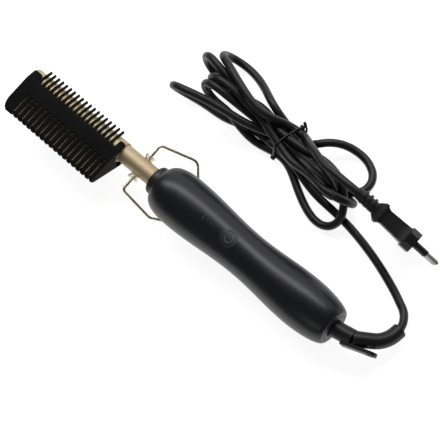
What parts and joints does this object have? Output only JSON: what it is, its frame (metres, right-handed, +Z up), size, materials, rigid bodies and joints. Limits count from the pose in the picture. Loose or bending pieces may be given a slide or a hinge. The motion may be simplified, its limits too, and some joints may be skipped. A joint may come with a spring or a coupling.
{
  "type": "electric hot comb",
  "caption": "Electric hot comb with a round moulded handle, a heated metal comb under a slotted clip-on guard, a folding wire stand and a mains cord in a tied bundle.",
  "frame": {"origin": "centre of the footprint of the tool without its cord, at the surface that it rests on", "axes": "+X along the barrel from the handle to the comb's tip, +Y level towards the comb's teeth, +Z up, through the button"},
  "size_m": [0.3171, 0.1324, 0.0398],
  "materials": {
    "handle_black": "satin moulded black",
    "collar_black": "smooth satin black",
    "button_black": "smooth black with a pale symbol",
    "clear_lens": "frosted light pipe",
    "screw_steel": "zinc plated",
    "white_plastic": "plain",
    "black_plastic": "plain",
    "chip_yellow": "phosphor",
    "board_green": "solder mask",
    "capacitor_red": "dipped",
    "resistor_tan": "lacquered",
    "ceramic": "unglazed ceramic",
    "gold_aluminium": "satin gold anodised",
    "lead_rubber": "silicone insulation",
    "mains_rubber": "insulated core",
    "clamp_nylon": "nylon",
    "fuse_metal": "plain",
    "guard_black": "matte heat-resistant black",
    "wire_brass": "polished",
    "cord_black": "soft black",
    "plug_black": "moulded black",
    "pin_nickel": "nickel plated"
  },
  "bodies": {
    "handle": {"handle_shell_top": "handle_black", "handle_shell_bottom": "handle_black", "front_collar": "collar_black", "rear_ring": "collar_black", "handle_screws": "screw_steel", "button_bezel": "button_black", "tact_switch": "black_plastic", "indicator_lenses": "clear_lens", "indicator_chips": "chip_yellow", "circuit_board": "board_green", "power_triac": "black_plastic", "film_capacitor": "capacitor_red", "small_components": "resistor_tan", "barrel_mount": "ceramic", "barrel_tube": "gold_aluminium", "heater_wires": "lead_rubber", "mains_wires": "mains_rubber", "cord_clamp": "clamp_nylon", "clamp_screws": "screw_steel", "comb_body": "gold_aluminium", "comb_end_cap": "gold_aluminium", "heater_rod": "ceramic", "heater_plug": "ceramic", "thermal_fuse": "fuse_metal", "guard_top_half": "guard_black", "guard_bottom_half": "guard_black", "stand_bracket_left": "wire_brass", "stand_bracket_right": "wire_brass", "cord_inlet": "cord_black", "cord_boot": "cord_black", "cord_lead": "cord_black", "cord_bundle": "cord_black", "cord_tie": "cord_black", "cord_tail": "cord_black", "plug_strain_relief": "plug_black", "plug_body": "plug_black", "pin_sleeves": "plug_black", "plug_pins": "pin_nickel"},
    "stand": {"stand_wire": "wire_brass"},
    "button": {"power_button": "button_black", "switch_plunger": "white_plastic"}
  },
  "joints": [
    {"name": "stand_hinge", "type": "hinge", "parent": "handle", "child": "stand", "pos_m": [0.03271, -0.00013, 0.02197], "axis": [0, -1, 0], "range_deg": [0, 85]},
    {"name": "button_press", "type": "slide", "parent": "handle", "child": "button", "axis": [0.0289, 0, -0.9996], "range_m": [0, 0.0008], "stiffness_N_per_m": 800, "springref_m": -0.0005}
  ]
}
